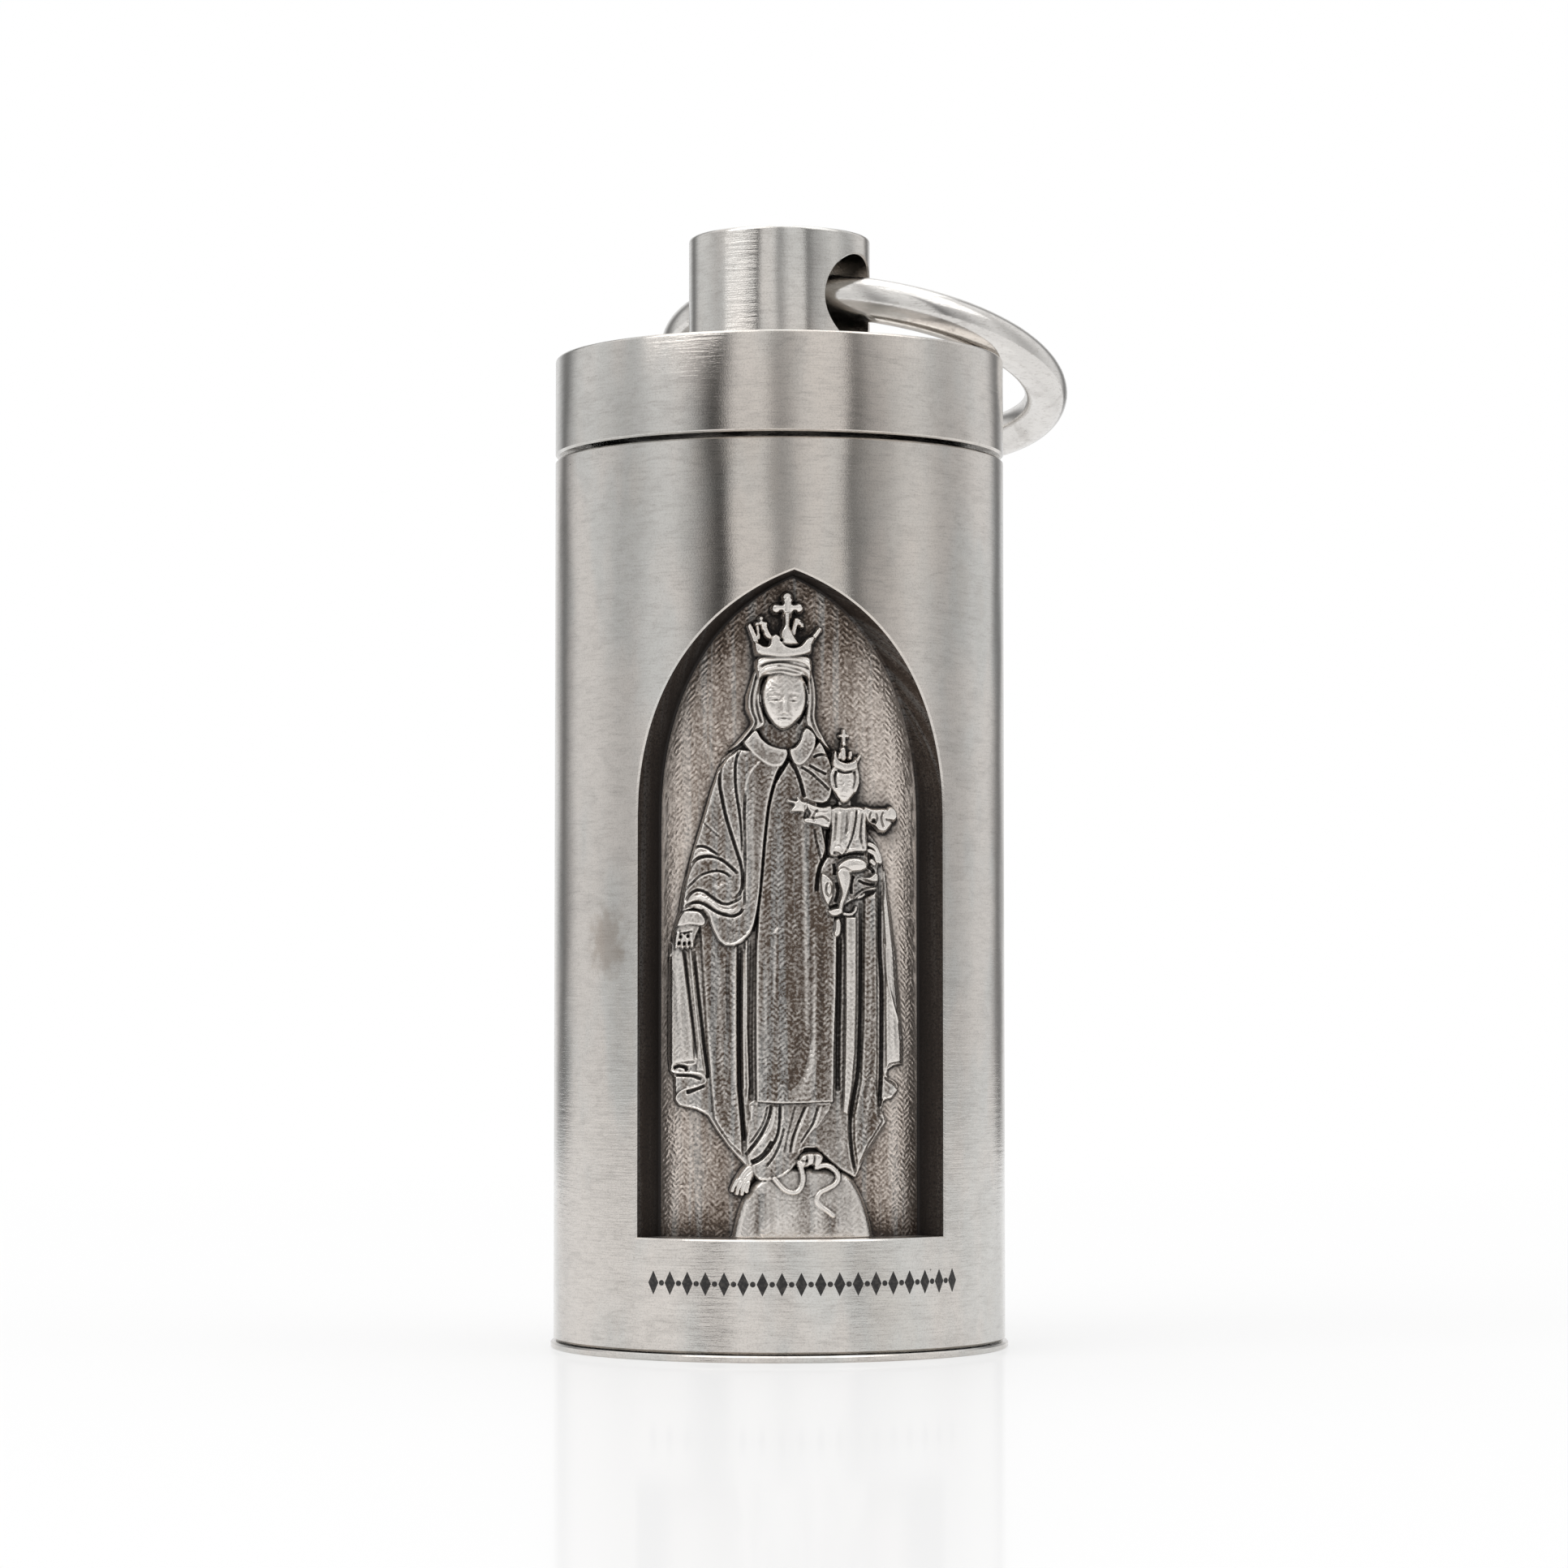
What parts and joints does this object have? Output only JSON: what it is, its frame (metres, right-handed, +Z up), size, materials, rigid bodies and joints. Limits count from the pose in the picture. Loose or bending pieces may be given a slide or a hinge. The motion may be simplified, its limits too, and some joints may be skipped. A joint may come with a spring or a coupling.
{
  "type": "pill case",
  "caption": "Round metal pill case with a threaded lid, a cross-drilled boss carrying a closed key ring, and a lancet niche with a carved standing figure.",
  "frame": {"origin": "middle of the flat underside of the base disc", "axes": "+Z up along the case's axis, towards the lid; -Y is the front, with the niche"},
  "size_m": [0.0238, 0.0259, 0.0494],
  "materials": {
    "case_steel": "satin, turned and brushed round the axis, with a dark oxidised carved niche",
    "base_steel": "satin, turned",
    "lid_steel": "satin, turned and brushed round the axis",
    "ring_steel": "polished round wire",
    "seal_rubber": "matt"
  },
  "bodies": {
    "case": {"case_body": "case_steel", "base_disc": "base_steel"},
    "seal": {"lid_seal": "seal_rubber"},
    "lid": {"lid": "lid_steel"},
    "ring": {"key_ring": "ring_steel"}
  },
  "joints": [
    {"name": "lid_lift", "type": "slide", "parent": "case", "child": "seal", "axis": [0, 0, 1], "range_m": [0, 0.00525]},
    {"name": "lid_turn", "type": "hinge", "parent": "seal", "child": "lid", "pos_m": [0, 0, 0.0395], "axis": [0, 0, 1], "range_deg": [0, 1891]},
    {"name": "ring_swing", "type": "hinge", "parent": "lid", "child": "ring", "pos_m": [0, 0, 0.04639], "axis": [0.8358, -0.549, 0], "range_deg": [0, 208.2]}
  ],
  "couplings": [
    {"joint": "lid_turn", "follows": "lid_lift", "rad_per_m": 6283.2}
  ]
}
